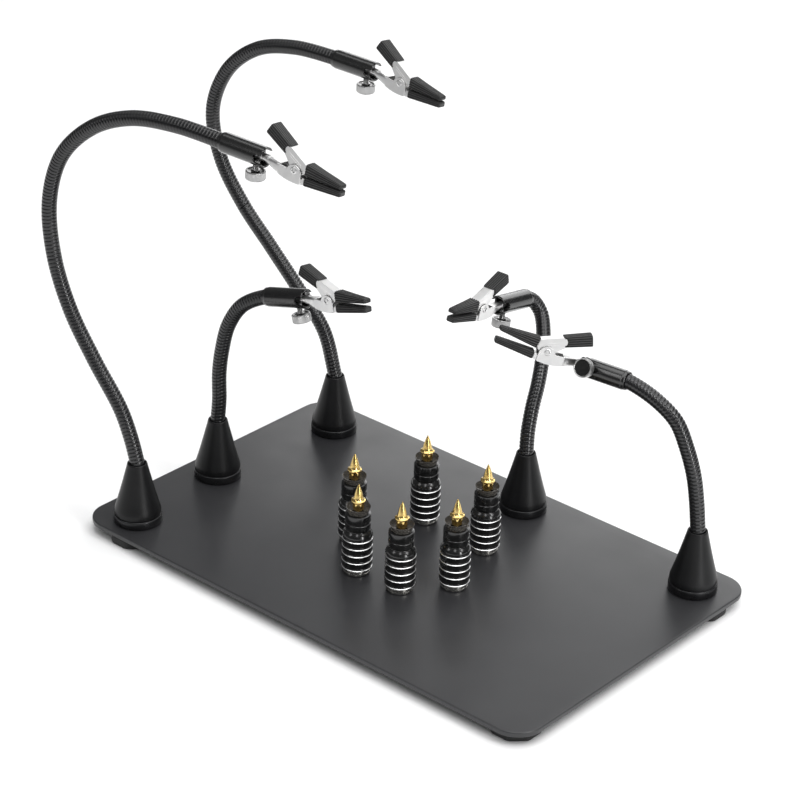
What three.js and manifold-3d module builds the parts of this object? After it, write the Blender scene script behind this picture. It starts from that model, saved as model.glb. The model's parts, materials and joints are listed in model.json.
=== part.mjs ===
// Helping hands workstation: a steel base plate on rubber pads, five magnetic gooseneck arms with
// crocodile clips, and six magnetic posts with sprung brass tips. Millimetres, +Z up, +X along the
// plate's long side, +Y to its back. The origin is the middle of the plate's top face.

import * as THREE from "three";
import { mergeVertices } from "three/addons/utils/BufferGeometryUtils.js";
import Module from "manifold-3d";

const wasm = await Module();
wasm.setup();

// ------------------------------------------------------------------ driving dimensions, mm

const GAP = 0.3; // clearance left between pieces that touch

const PLATE = { length: 300, depth: 190, thickness: 3, corner: 15, edge: 0.6 };
const PAD = { height: 5, across: 25, chamfer: 1 };
const PAD_CENTRES = {
  front_left: [-122, -82],
  front_right: [134, -79],
  rear_left: [-132, 76],
  rear_right: [136, 69],
};

const FOOT = { radius: 12.75, magnet: 4.8, skirt: 7.8, height: 34.5, mouth: 5.3, socket: 4.6 };
const NECK = { radius: 4, sides: 8, inSleeve: 8, step: 6.5 };
const SLEEVE = {
  radius: 5.2,
  length: 27,
  neckBore: 4.6,
  neckBoreDepth: 9,
  mouthBore: 4.2,
  mouthDepth: 10.5,
};
const FORK = { slot: 4.8, depth: 4.8, screwFromMouth: 6.3, screwHole: 1.9 };
const SCREW = { stud: 1.5, tip: 2.4, head: 5, headFrom: 8.2, headTo: 12.6, chamfer: 0.4 };

// The clip's own frame: jaws part at z 0 with their tips to +X, and the tail's ball is on the X axis.
const CLIP_FROM_BALL = 24.3;
const RIVET = [1.3, 1.2];
const TAIL = { radius: 2, length: 10, crimpFrom: 9 };
const CHEEK = { centre: [1.2, -0.4], radius: 4.4, outer: 3.7, inner: 3 }; // the lower half's channel
const UPPER = { lug: 4.2, outer: 2.7, inner: 2 }; // the upper half's channel
const PRONG = { root: 7.2, tip: 26.8, rootHalf: 2.7, tipHalf: 1.8 };
const BOOT = { root: 7.6, tip: 28.5, rootHalf: 3.6, tipHalf: 2.5, wall: 0.6 };
const GRIP_HALF = 3.7;

const POST = { ring: 36, centre: [4, -1], magnet: 7, magnetHeight: 3.4, body: 8, neck: 6.7, cup: 6.4 };
const POST_BEARINGS = [199, 252, 297, 343, 51, 124]; // degrees round the ring
const TIP = { stem: 2, bore: 2.5, bottom: 29, lower: 2.7, flange: 3.8, top: 51 };

// Each arm: where its foot stands, the way its head points (azimuth and pitch, degrees), how the clip
// is turned on the tail's ball from the sleeve's line (swing, droop and roll, degrees), how the
// thumbscrew is turned round the sleeve, how far the jaws stand open when they hold a board, and the
// gooseneck's route from the foot's mouth to the sleeve. A planar route is reach and height along
// `along` degrees; a free route is x, y and height from the foot.
const ARMS = {
  front_long: {
    foot: [-125, -77],
    azimuth: 4,
    pitch: -2,
    swing: 0,
    droop: 2,
    roll: -6.5,
    along: 4,
    route: [[-4, 47], [-11, 62], [-29.5, 85.6], [-45.6, 109.5], [-55.8, 136.4], [-57.9, 166.4],
      [-48.8, 193.5], [-27.4, 214.8], [-1, 227], [28.5, 231.2], [58.5, 230.8]],
  },
  rear_long: {
    foot: [-119, 70],
    azimuth: 3.7,
    pitch: -2,
    swing: -4,
    droop: 1.5,
    roll: -7,
    along: 3.7,
    route: [[-8.7, 59.3], [-27.9, 79.8], [-48, 99.4], [-68.1, 118.9], [-84.4, 142.2], [-90.1, 169.3],
      [-79.6, 194.9], [-58.6, 212.4], [-32.7, 219.7], [-4.3, 220.7]],
  },
  left_short: {
    foot: [-129, -13],
    azimuth: 5,
    pitch: 14.5,
    swing: -8,
    droop: -1,
    roll: -7,
    along: 5,
    open: 2,
    route: [[1, 47], [1, 63], [3.1, 78.1], [7.3, 93.2], [16.7, 107.5], [33.2, 117.7]],
  },
  rear_short: {
    foot: [14, 75],
    azimuth: 272,
    pitch: 10.5,
    swing: 4,
    droop: -3,
    roll: -2,
    open: 2,
    route: [[-2, 3, 45], [-4, 8, 56], [-7, 16, 67], [-12, 25, 77], [-19, 34, 86], [-26.2, 40.3, 93.6],
      [-30.2, 39, 99.6], [-31.2, 33.4, 103.4]],
  },
  right_short: {
    foot: [128, 72],
    azimuth: 187.5,
    pitch: 1.5,
    swing: 34,
    droop: -18.5,
    roll: 11,
    along: 187.5,
    screwTurn: 115,
    open: 6.5,
    route: [[2.1, 49.9], [5.2, 64.8], [10.4, 78.5], [17.6, 91.2], [30.1, 99.7], [46.3, 104.9]],
  },
};

// ------------------------------------------------------------------ materials

const look = (color, roughness, metalness = 0) => () =>
  new THREE.MeshStandardMaterial({ color, roughness, metalness });

const POWDER_COAT = look(0x2b2b2d, 0.55, 0.2);
const RUBBER = look(0x1a1a1a, 0.85);
const SATIN_BLACK = look(0x151517, 0.35, 0.1);
const NECK_BLACK = look(0x1c1c1e, 0.4, 0.3);
const GLOSS_BLACK = look(0x101012, 0.2, 0.2);
const NICKEL = look(0xc9cacc, 0.25, 1);
const BOOT_BLACK = look(0x242426, 0.7);
const ANODISED_BLACK = look(0x161618, 0.3, 0.6);
const BRASS = look(0xd8b04a, 0.25, 1);

// ------------------------------------------------------------------ helpers

const radians = THREE.MathUtils.degToRad;
const mix = THREE.MathUtils.lerp;

function solidOf(geometry) {
  const bare = geometry.index ? geometry.toNonIndexed() : geometry.clone();
  bare.deleteAttribute("normal");
  bare.deleteAttribute("uv");
  const merged = mergeVertices(bare, 1e-3);
  const vertProperties = merged.attributes.position.array;
  const triVerts = new Uint32Array(merged.index.array);
  return new wasm.Manifold(new wasm.Mesh({ numProp: 3, vertProperties, triVerts }));
}

function geometryOf(solid) {
  const mesh = solid.getMesh();
  const geometry = new THREE.BufferGeometry();
  geometry.setAttribute("position", new THREE.BufferAttribute(mesh.vertProperties, 3));
  geometry.setIndex(new THREE.BufferAttribute(mesh.triVerts, 1));
  geometry.computeVertexNormals();
  return geometry;
}

const joined = (...pieces) => geometryOf(pieces.map(solidOf).reduce((whole, next) => whole.add(next)));
const cutBy = (piece, ...tools) =>
  geometryOf(tools.map(solidOf).reduce((left, tool) => left.subtract(tool), solidOf(piece)));

// A solid of revolution about Z from [radius, height] points, listed upwards from the axis to the axis.
function turned(profile, sides) {
  const points = profile.map(([r, z]) => new THREE.Vector2(r, z));
  return new THREE.LatheGeometry(points, sides).rotateX(Math.PI / 2);
}

// Points of a round stretch about [across, up], from one angle to another in degrees.
function round([across, up], radius, from, to, steps) {
  return Array.from({ length: steps + 1 }, (_, i) => {
    const angle = radians(mix(from, to, i / steps));
    return [across + radius * Math.cos(angle), up + radius * Math.sin(angle)];
  });
}

// A side outline of [x, z] points, extruded to `half` on both sides of the XZ plane.
function slab(outline, half) {
  const shape = new THREE.Shape(outline.map(([x, z]) => new THREE.Vector2(x, z)));
  const geometry = new THREE.ExtrudeGeometry(shape, { depth: 2 * half, bevelEnabled: false });
  return geometry.rotateX(Math.PI / 2).translate(0, half, 0);
}

// A slab whose half width runs evenly from one x to another.
function tapered(outline, from, to) {
  const geometry = slab(outline, 1);
  const position = geometry.attributes.position;
  for (let i = 0; i < position.count; i += 1) {
    const share = (position.getX(i) - from.x) / (to.x - from.x);
    position.setY(i, position.getY(i) * mix(from.half, to.half, share));
  }
  return geometry;
}

function piece(name, geometry, material) {
  const mesh = new THREE.Mesh(geometry, material());
  mesh.name = name;
  return mesh;
}

// ------------------------------------------------------------------ base plate and pads

function plateGeometry() {
  const { length, depth, thickness, corner, edge } = PLATE;
  const [x, y, r] = [length / 2 - edge, depth / 2 - edge, corner - edge];
  const outline = new THREE.Shape();
  outline.moveTo(r - x, -y);
  outline.lineTo(x - r, -y);
  outline.absarc(x - r, r - y, r, -Math.PI / 2, 0, false);
  outline.absarc(x - r, y - r, r, 0, Math.PI / 2, false);
  outline.absarc(r - x, y - r, r, Math.PI / 2, Math.PI, false);
  outline.absarc(r - x, r - y, r, Math.PI, 1.5 * Math.PI, false);
  const settings = {
    depth: thickness - 2 * edge,
    bevelThickness: edge,
    bevelSize: edge,
    bevelSegments: 2,
    curveSegments: 6,
  };
  return new THREE.ExtrudeGeometry(outline, settings).translate(0, 0, edge - thickness);
}

function padGeometry() {
  const { height, across, chamfer } = PAD;
  const corner = across / 2 / Math.cos(Math.PI / 8);
  const top = -PLATE.thickness - GAP;
  const bottom = -PLATE.thickness - height;
  const profile = [
    [0, bottom],
    [corner - chamfer, bottom],
    [corner, bottom + chamfer],
    [corner, top],
    [0, top],
  ];
  return turned(profile, 8).rotateZ(Math.PI / 8);
}

// ------------------------------------------------------------------ arm pieces

function footGeometry() {
  const { radius, magnet, skirt, height, mouth, socket } = FOOT;
  const shell = radius - 0.45;
  const profile = [
    [0, GAP],
    [radius - 0.4, GAP],
    [radius, GAP + 0.4],
    [radius, magnet],
    [shell, magnet + 0.2],
    [shell, skirt],
    [mix(shell, mouth, 0.32), mix(skirt, height, 0.28)],
    [mouth, height - 0.5],
    [mouth - 0.25, height],
    ...round([0, height], socket, 0, -90, 4),
  ];
  return turned(profile, 16);
}

function armRoute({ route, along }) {
  const start = new THREE.Vector3(0, 0, FOOT.height);
  if (along === undefined) return [start, ...route.map((p) => new THREE.Vector3(...p))];
  const [c, s] = [Math.cos(radians(along)), Math.sin(radians(along))];
  return [start, ...route.map(([reach, up]) => new THREE.Vector3(reach * c, reach * s, up))];
}

const headTurn = ({ azimuth, pitch }) => new THREE.Euler(0, -radians(pitch), radians(azimuth), "ZYX");
const clipTurn = ({ swing, droop, roll }) =>
  new THREE.Euler(radians(roll), radians(droop), radians(swing), "ZYX");

// The gooseneck's centre line: its route, then straight into the sleeve's bore.
function neckCurve(arm) {
  const points = armRoute(arm);
  const start = points.at(-1);
  const ahead = new THREE.Vector3(1, 0, 0).applyEuler(headTurn(arm));
  const end = start.clone().addScaledVector(ahead, NECK.inSleeve);
  return new THREE.CatmullRomCurve3([...points, end]);
}

// Part of a longer curve, between two lengths along it.
class Stretch extends THREE.Curve {
  constructor(whole, from, to) {
    super();
    Object.assign(this, { whole, from, to });
  }

  getPoint(t, target = new THREE.Vector3()) {
    return this.whole.getPointAt(mix(this.from, this.to, t) / this.whole.getLength(), target);
  }
}

// A stretch of gooseneck with a ball at its lower end, about which it bends.
function neckGeometry(curve, from, to) {
  const { radius, sides, step } = NECK;
  const section = new THREE.Shape(
    round([0, 0], radius, 0, 360 - 360 / sides, sides - 1).map(([x, y]) => new THREE.Vector2(x, y)),
  );
  const extrudePath = new Stretch(curve, from, to);
  const steps = Math.round((to - from) / step);
  const tube = new THREE.ExtrudeGeometry(section, { extrudePath, steps, bevelEnabled: false });
  const ball = new THREE.SphereGeometry(radius, sides, sides / 2);
  return joined(tube, ball.translate(...extrudePath.getPoint(0).toArray()));
}

// The sleeve lies along +X from its gooseneck end; its fork takes the clip's tail and its
// thumbscrew comes in from below.
function sleeveGeometry() {
  const { radius, length, neckBore, neckBoreDepth, mouthBore, mouthDepth } = SLEEVE;
  const { slot, depth, screwFromMouth, screwHole } = FORK;
  const profile = [
    [0, neckBoreDepth],
    [neckBore, neckBoreDepth],
    [neckBore, 0],
    [radius - 0.3, 0],
    [radius - 0.3, 1.4],
    [radius, 1.6],
    [radius, length],
    [mouthBore, length],
    [mouthBore, length - mouthDepth],
    [0, length - mouthDepth],
  ];
  const tube = turned(profile, 12).rotateY(Math.PI / 2);
  const notch = new THREE.BoxGeometry(2 * depth, 4 * radius, slot).translate(length, 0, 0);
  const hole = new THREE.CylinderGeometry(screwHole, screwHole, 2 * radius, 10).rotateX(Math.PI / 2);
  return cutBy(tube, notch, hole.translate(length - screwFromMouth, 0, -radius));
}

function screwGeometry() {
  const { stud, tip, head, headFrom, headTo, chamfer } = SCREW;
  const profile = [
    [0, -headTo],
    [head - chamfer, -headTo],
    [head, chamfer - headTo],
    [head, -headFrom - chamfer],
    [head - chamfer, -headFrom],
    [stud, -headFrom],
    [stud, -tip],
    [0, -tip],
  ];
  return turned(profile, 12).translate(SLEEVE.length - FORK.screwFromMouth, 0, 0);
}

// ------------------------------------------------------------------ clip pieces

// The flat bar inside a boot. `low` and `high` are its heights at the root and at the tip.
function prongGeometry(low, high) {
  const { root, tip, rootHalf, tipHalf } = PRONG;
  const outline = [[root - 1.5, low[0]], [tip, low[1]], [tip, high[1]], [root - 1.5, high[0]]];
  return tapered(outline, { x: root, half: rootHalf }, { x: tip, half: tipHalf });
}

// The way the tail's barrel points from its ball, in the clip's frame: the clip's own direction,
// turned only as far as the fork's slot lets the barrel turn.
function tailDirection(arm) {
  const forkTurn = new THREE.Euler(radians(arm.screwTurn ?? 0), 0, 0);
  const screwAxis = new THREE.Vector3(0, 0, 1).applyEuler(forkTurn);
  const turn = new THREE.Quaternion().setFromEuler(clipTurn(arm));
  const ahead = new THREE.Vector3(1, 0, 0).applyQuaternion(turn);
  return ahead.projectOnPlane(screwAxis).normalize().applyQuaternion(turn.invert());
}

// The bar pressed together from the channel's rear, at x `front`, down to the tail's barrel.
function crimpGeometry(barrelEnd, front) {
  const half = TAIL.radius + 0.4;
  const corners = [];
  for (const side of [-1, 1]) {
    corners.push([front, side * CHEEK.outer, -3.3], [front, side * CHEEK.outer, 1.6]);
    corners.push([barrelEnd.x, barrelEnd.y + side * half, barrelEnd.z - TAIL.radius]);
    corners.push([barrelEnd.x, barrelEnd.y + side * half, barrelEnd.z + TAIL.radius]);
  }
  return geometryOf(wasm.Manifold.hull(corners));
}

function lowerJawGeometry(tail) {
  const { centre, radius, outer, inner } = CHEEK;
  const neckX = -8;
  const ballAt = new THREE.Vector3(-CLIP_FROM_BALL, 0, 0);
  const cheeks = slab(
    [[neckX, -3.3], [-5, -4.1], [-1, -4.8], [3, -4.9], [5.4, -4.7], ...round(centre, radius, 0, 160, 6),
      [neckX, 1.6]],
    outer,
  );
  const channel = slab([[neckX - 1, -2.3], [-4, -3.2], [6.5, -3.9], [6.5, 9], [neckX - 1, 9]], inner);
  const root = slab(
    [[4.3, -4.8], [PRONG.root, -4.4], [PRONG.root, -1.6], [5.2, -1.9], [4.3, -3]],
    inner + 0.1,
  );
  const turn = new THREE.Quaternion().setFromUnitVectors(new THREE.Vector3(1, 0, 0), tail);
  const barrel = new THREE.CylinderGeometry(TAIL.radius, TAIL.radius, TAIL.length, 8).rotateZ(Math.PI / 2);
  barrel.translate(TAIL.length / 2, 0, 0).applyQuaternion(turn).translate(...ballAt.toArray());
  const ball = new THREE.SphereGeometry(TAIL.radius, 8, 4).translate(...ballAt.toArray());
  const crimp = crimpGeometry(ballAt.clone().addScaledVector(tail, TAIL.crimpFrom), neckX + 0.3);
  const prong = prongGeometry([-4.3, -2.7], [-1.3, -1.3]);
  return joined(cutBy(cheeks, channel), root, prong, crimp, barrel, ball);
}

function upperJawGeometry() {
  const { lug, outer, inner } = UPPER;
  const { root } = PRONG;
  const side = slab(
    [[root, 1.3], [root, 5.7], [-4.4, 12.4], [-9, 15.3], [-11.8, 10.9], [-7.2, 8],
      ...round(RIVET, lug, 160, 340, 6)],
    outer,
  );
  const channel = slab([[root + 1, -5], [root + 1, 4.5], [-4, 11.1], [-7.4, 8], [-5, -5]], inner);
  const grip = slab([[-18.3, 13.9], [-15.2, 19.3], [-2.3, 11.6], [-5.1, 6.7]], GRIP_HALF);
  return joined(cutBy(side, channel), prongGeometry([1.3, 1.3], [5.8, 2]), grip);
}

// A rubber boot over a jaw's prong. `side` is 1 for the upper jaw and -1 for the lower.
function bootGeometry(side) {
  const [rootHigh, tipHigh] = side > 0 ? [6.4, 2.6] : [4.9, 3.5];
  const { root, tip, rootHalf, tipHalf, wall } = BOOT;
  const flip = (points) => points.map(([x, z]) => [x, side * z]);
  const block = [[root, GAP], [tip, GAP], [tip, tipHigh], [root, rootHigh]];
  const hollow = [
    [root - 1, GAP + wall],
    [tip - 1, GAP + wall],
    [tip - 1, tipHigh - wall],
    [root - 1, rootHigh],
  ];
  const outer = tapered(flip(block), { x: root, half: rootHalf }, { x: tip, half: tipHalf });
  const inner = tapered(
    flip(hollow),
    { x: root - 1, half: rootHalf - wall },
    { x: tip - 1, half: tipHalf - wall / 2 },
  );
  return cutBy(outer, inner);
}

// ------------------------------------------------------------------ arms

function buildArm(name, arm) {
  const group = new THREE.Group();
  group.position.set(arm.foot[0], arm.foot[1], 0);
  group.add(piece(`${name}_cone_foot`, footGeometry(), SATIN_BLACK));

  const curve = neckCurve(arm);
  curve.arcLengthDivisions = 400;
  const length = curve.getLength();
  if (name.endsWith("_long")) {
    const middle = length / 2;
    const below = middle - NECK.radius - GAP;
    group.add(piece(`${name}_lower_gooseneck`, neckGeometry(curve, 0, below), NECK_BLACK));
    group.add(piece(`${name}_upper_gooseneck`, neckGeometry(curve, middle, length), NECK_BLACK));
  } else {
    group.add(piece(`${name}_gooseneck`, neckGeometry(curve, 0, length), NECK_BLACK));
  }

  const head = new THREE.Group();
  head.position.copy(armRoute(arm).at(-1));
  head.rotation.copy(headTurn(arm));
  group.add(head);

  const fork = new THREE.Group();
  fork.rotation.x = radians(arm.screwTurn ?? 0);
  fork.add(piece(`${name}_sleeve`, sleeveGeometry(), GLOSS_BLACK));
  fork.add(piece(`${name}_thumbscrew`, screwGeometry(), NICKEL));
  head.add(fork);

  const clip = new THREE.Group();
  clip.rotation.copy(clipTurn(arm));
  clip.position.set(CLIP_FROM_BALL, 0, 0).applyEuler(clipTurn(arm));
  clip.position.x += SLEEVE.length - FORK.screwFromMouth;
  clip.add(piece(`${name}_lower_jaw`, lowerJawGeometry(tailDirection(arm)), NICKEL));
  clip.add(piece(`${name}_lower_boot`, bootGeometry(-1), BOOT_BLACK));
  head.add(clip);

  const upper = new THREE.Group();
  upper.add(piece(`${name}_upper_jaw`, upperJawGeometry(), NICKEL));
  upper.add(piece(`${name}_upper_boot`, bootGeometry(1), BOOT_BLACK));
  for (const held of upper.children) held.position.set(-RIVET[0], 0, -RIVET[1]);
  upper.position.set(RIVET[0], 0, RIVET[1]);
  upper.rotation.y = -radians(arm.open ?? 0);
  clip.add(upper);
  return group;
}

// ------------------------------------------------------------------ posts

function postGeometry() {
  const { magnet, magnetHeight, body, neck, cup } = POST;
  const profile = [
    [0, GAP],
    [magnet, GAP],
    [magnet, magnetHeight],
    [body, magnetHeight + 0.4],
    [body, 22],
    [body - 0.4, 24],
    [neck, 25.6],
    [neck, 34.6],
    [cup - 0.9, 35.2],
    [cup, 38.4],
    [cup - 1, 38.4],
    [TIP.bore + 1, 36.4],
    [TIP.bore, 36.4],
    [TIP.bore, TIP.bottom - 1],
    [0, TIP.bottom - 1],
  ];
  return turned(profile, 12);
}

function tipGeometry() {
  const { stem, bottom, lower, flange, top } = TIP;
  const profile = [
    [0, bottom],
    [stem, bottom],
    [stem, 36.9],
    [lower, 36.9],
    [lower, 41],
    [flange, 41.4],
    [flange, 42.2],
    [stem + 0.4, 42.8],
    [0.15, top],
    [0, top],
  ];
  return turned(profile, 10);
}

function buildPost(index, bearing) {
  const group = new THREE.Group();
  const angle = radians(bearing);
  const [x, y] = POST.centre;
  group.position.set(x + POST.ring * Math.cos(angle), y + POST.ring * Math.sin(angle), 0);
  group.rotation.z = angle;
  group.add(piece(`post_${index}_holder`, postGeometry(), ANODISED_BLACK));
  group.add(piece(`post_${index}_tip`, tipGeometry(), BRASS));
  return group;
}

// ------------------------------------------------------------------ the whole workstation

const workstation = new THREE.Group();
workstation.add(piece("base_plate", plateGeometry(), POWDER_COAT));
for (const [corner, [x, y]] of Object.entries(PAD_CENTRES)) {
  const pad = piece(`${corner}_pad`, padGeometry(), RUBBER);
  pad.position.set(x, y, 0);
  workstation.add(pad);
}
for (const [name, arm] of Object.entries(ARMS)) workstation.add(buildArm(name, arm));
POST_BEARINGS.forEach((bearing, i) => workstation.add(buildPost(i + 1, bearing)));

export default workstation;
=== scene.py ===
# Looks of the helping hands workstation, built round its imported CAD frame. A piece is made in
# millimetres and placed in metres.
import json
import math

import bmesh
import bpy
import numpy as np
from mathutils import Euler, Matrix, Vector


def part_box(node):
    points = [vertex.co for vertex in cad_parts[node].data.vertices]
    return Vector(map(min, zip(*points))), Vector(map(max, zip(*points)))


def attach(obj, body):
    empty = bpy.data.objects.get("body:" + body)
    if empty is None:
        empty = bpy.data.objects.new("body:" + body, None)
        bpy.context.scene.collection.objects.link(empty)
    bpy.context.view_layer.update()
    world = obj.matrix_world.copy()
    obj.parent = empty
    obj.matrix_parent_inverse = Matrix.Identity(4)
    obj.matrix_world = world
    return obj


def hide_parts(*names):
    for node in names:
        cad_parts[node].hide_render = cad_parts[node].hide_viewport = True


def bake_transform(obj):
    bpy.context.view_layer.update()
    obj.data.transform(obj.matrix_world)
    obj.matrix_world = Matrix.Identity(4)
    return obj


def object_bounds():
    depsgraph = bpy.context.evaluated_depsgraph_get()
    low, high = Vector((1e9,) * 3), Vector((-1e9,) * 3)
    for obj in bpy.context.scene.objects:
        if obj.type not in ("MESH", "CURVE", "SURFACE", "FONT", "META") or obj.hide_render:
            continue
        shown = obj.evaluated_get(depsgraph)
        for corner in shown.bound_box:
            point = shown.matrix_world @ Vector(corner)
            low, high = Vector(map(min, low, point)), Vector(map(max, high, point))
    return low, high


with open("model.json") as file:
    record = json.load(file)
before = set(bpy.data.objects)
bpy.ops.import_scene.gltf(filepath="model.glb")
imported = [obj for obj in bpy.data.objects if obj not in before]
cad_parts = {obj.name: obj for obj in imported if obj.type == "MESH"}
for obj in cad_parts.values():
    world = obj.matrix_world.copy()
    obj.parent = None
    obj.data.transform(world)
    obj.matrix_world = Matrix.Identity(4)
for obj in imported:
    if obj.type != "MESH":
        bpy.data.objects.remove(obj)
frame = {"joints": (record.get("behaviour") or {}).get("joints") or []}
CAD_LOW, CAD_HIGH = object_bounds()
JOINTS = {joint["name"]: joint for joint in frame["joints"]}
MM = 0.001  # metres

# ---------------------------------------------------------------- dimensions, mm

PLATE = {"thickness": 3.0, "corner": 15.0, "edge": 0.7}
PAD = {"across": 25.0, "chamfer": 1.0, "easing": 0.3, "corner_cut": 0.35}
FOOT_HEIGHT = 34.5
# The gooseneck starts `in_foot` below the foot's mouth and ends inside the sleeve, `end_gap`
# short of its floor.
NECK = {"radius": 4.0, "groove": 0.5, "pitch": 2.0, "rows_per_turn": 8, "columns": 24,
        "in_foot": 4.0, "in_sleeve": 8.0, "end_gap": 0.8}
ROUTE_STEPS = 60  # between two points of a route
# How much gooseneck a bend spreads over. A long arm's upper coil starts `lead` before its bend.
BEND = {"long": 60.0, "short": 48.0, "lead": 4.0}
SLEEVE = {"radius": 5.2, "length": 27.0, "screw": 20.7, "slot": 4.8, "slot_depth": 4.8,
          "bore_depth": 10.5, "screw_hole": 1.9}
TAIL = {"radius": 2.0, "length": 10.0, "crimp_from": 7.5}  # ahead of its ball
CLIP_FROM_BALL = 24.3  # the clip's own origin, ahead of the tail's ball

# Each arm, as in the frame. Its route is reach and height in the upright plane at `along`
# degrees, or without `along` it is x, y and height from the foot. `azimuth` and `pitch` aim the
# sleeve. `swing`, `droop` and `roll` turn the clip from it, and `open` its upper jaw.
ARMS = {
    "front_long": {
        "foot": (-125, -77), "azimuth": 4, "pitch": -2, "swing": 0, "droop": 2, "roll": -6.5,
        "along": 4,
        "route": [(-4, 47), (-11, 62), (-29.5, 85.6), (-45.6, 109.5), (-55.8, 136.4),
                  (-57.9, 166.4), (-48.8, 193.5), (-27.4, 214.8), (-1, 227), (28.5, 231.2),
                  (58.5, 230.8)],
    },
    "rear_long": {
        "foot": (-119, 70), "azimuth": 3.7, "pitch": -2, "swing": -4, "droop": 1.5, "roll": -7,
        "along": 3.7,
        "route": [(-8.7, 59.3), (-27.9, 79.8), (-48, 99.4), (-68.1, 118.9), (-84.4, 142.2),
                  (-90.1, 169.3), (-79.6, 194.9), (-58.6, 212.4), (-32.7, 219.7), (-4.3, 220.7)],
    },
    "left_short": {
        "foot": (-129, -13), "azimuth": 5, "pitch": 14.5, "swing": -8, "droop": -1, "roll": -7,
        "along": 5, "open": 2,
        "route": [(1, 47), (1, 63), (3.1, 78.1), (7.3, 93.2), (16.7, 107.5), (33.2, 117.7)],
    },
    "rear_short": {
        "foot": (14, 75), "azimuth": 272, "pitch": 10.5, "swing": 4, "droop": -3, "roll": -2,
        "open": 2,
        "route": [(-2, 3, 45), (-4, 8, 56), (-7, 16, 67), (-12, 25, 77), (-19, 34, 86),
                  (-26.2, 40.3, 93.6), (-30.2, 39, 99.6), (-31.2, 33.4, 103.4)],
    },
    "right_short": {
        "foot": (128, 72), "azimuth": 187.5, "pitch": 1.5, "swing": 34, "droop": -18.5, "roll": 11,
        "along": 187.5, "screw_turn": 115, "open": 6.5,
        "route": [(2.1, 49.9), (5.2, 64.8), (10.4, 78.5), (17.6, 91.2), (30.1, 99.7),
                  (46.3, 104.9)],
    },
}

# ---------------------------------------------------------------- materials

NOISE_MIDDLE = (0.3, 0.7)  # where nearly all of a noise lies


class Finish:
    """A procedural material on one Principled shader."""

    def __init__(self, name, metallic=0.0, **sockets):
        self.material = bpy.data.materials.new(name)
        self.material.use_nodes = True
        self.nodes = self.material.node_tree.nodes
        self.links = self.material.node_tree.links
        self.shader = self.nodes["Principled BSDF"]
        self.shader.inputs["Metallic"].default_value = metallic
        for socket, value in sockets.items():
            self.shader.inputs[socket.replace("_", " ")].default_value = value
        self.place = self.nodes.new("ShaderNodeTexCoord").outputs["Object"]
        self.normal = None

    def noise(self, scale, detail, stretch=None):
        """Noise over the piece, `scale` features to the metre."""
        node = self.nodes.new("ShaderNodeTexNoise")
        node.inputs["Scale"].default_value = scale
        node.inputs["Detail"].default_value = detail
        place = self.place
        if stretch:
            mapping = self.nodes.new("ShaderNodeMapping")
            mapping.inputs["Scale"].default_value = stretch
            self.links.new(place, mapping.inputs["Vector"])
            place = mapping.outputs["Vector"]
        self.links.new(place, node.inputs["Vector"])
        return node.outputs["Fac"]

    def attribute(self, name):
        """A value stored on the mesh."""
        node = self.nodes.new("ShaderNodeAttribute")
        node.attribute_name = name
        return node.outputs["Fac"]

    def color(self, value, stops):
        """Base colour from a value, by (position, colour) stops."""
        node = self.nodes.new("ShaderNodeValToRGB")
        elements = node.color_ramp.elements
        while len(elements) < len(stops):
            elements.new(0.5)
        for element, (at, color) in zip(elements, stops):
            element.position = at
            element.color = (*color, 1.0)
        self.links.new(value, node.inputs["Fac"])
        self.links.new(node.outputs["Color"], self.shader.inputs["Base Color"])

    def roughness(self, value, low, high):
        """Roughness from a noise."""
        node = self.nodes.new("ShaderNodeMapRange")
        node.inputs["From Min"].default_value, node.inputs["From Max"].default_value = NOISE_MIDDLE
        node.inputs["To Min"].default_value = low
        node.inputs["To Max"].default_value = high
        self.links.new(value, node.inputs["Value"])
        self.links.new(node.outputs["Result"], self.shader.inputs["Roughness"])

    def bump(self, value, distance, strength):
        """Relief from a noise, `distance` millimetres deep, on top of any before it."""
        node = self.nodes.new("ShaderNodeBump")
        node.inputs["Distance"].default_value = distance * MM
        node.inputs["Strength"].default_value = strength
        self.links.new(value, node.inputs["Height"])
        if self.normal:
            self.links.new(self.normal, node.inputs["Normal"])
        self.normal = node.outputs["Normal"]
        self.links.new(self.normal, self.shader.inputs["Normal"])


def mottled(name, tones, grain, rough, rough_grain=None, bumps=(), metallic=0.0, **sockets):
    """A material with noise between two tones of colour, and between two values of roughness if
    it has a `rough_grain`. A grain is (features to the metre, detail), and a bump is (features
    to the metre, detail, depth in mm, strength)."""
    finish = Finish(name, metallic, **sockets)
    finish.color(finish.noise(*grain), list(zip(NOISE_MIDDLE, tones)))
    if rough_grain:
        finish.roughness(finish.noise(*rough_grain), *rough)
    else:
        finish.shader.inputs["Roughness"].default_value = rough
    for scale, detail, depth, strength in bumps:
        finish.bump(finish.noise(scale, detail), depth, strength)
    return finish.material


def grey(value, tint=(1.0, 1.0, 1.0)):
    return tuple(value * t for t in tint)


def greys(low, high, tint=(1.0, 1.0, 1.0)):
    return grey(low, tint), grey(high, tint)


COOL = (0.97, 0.98, 1.06)
WARM = (1.0, 0.995, 0.985)


def coil_finish():
    """Black wire, paler along its crest as a painted highlight and darkest in its grooves as
    painted shade.
    """
    finish = Finish("gooseneck_coil", 0.4, Specular_IOR_Level=0.95)
    # the ramp paints a highlight along each turn's crest and shade in its grooves
    finish.color(finish.attribute("crest"), [(0.0, grey(0.001)), (0.6, grey(0.002)),
                                             (0.9, grey(0.005, COOL)), (1.0, grey(0.018, COOL))])
    finish.roughness(finish.noise(1300, 3), 0.16, 0.22)
    finish.bump(finish.noise(2400, 2), 0.003, 0.5)
    return finish.material


def nickel(name, low, high, rough):
    return mottled(name, (grey(low), grey(high, WARM)), (180, 2), rough, (220, 2),
                   [(900, 2, 0.0008, 0.5)], metallic=1.0)


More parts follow.
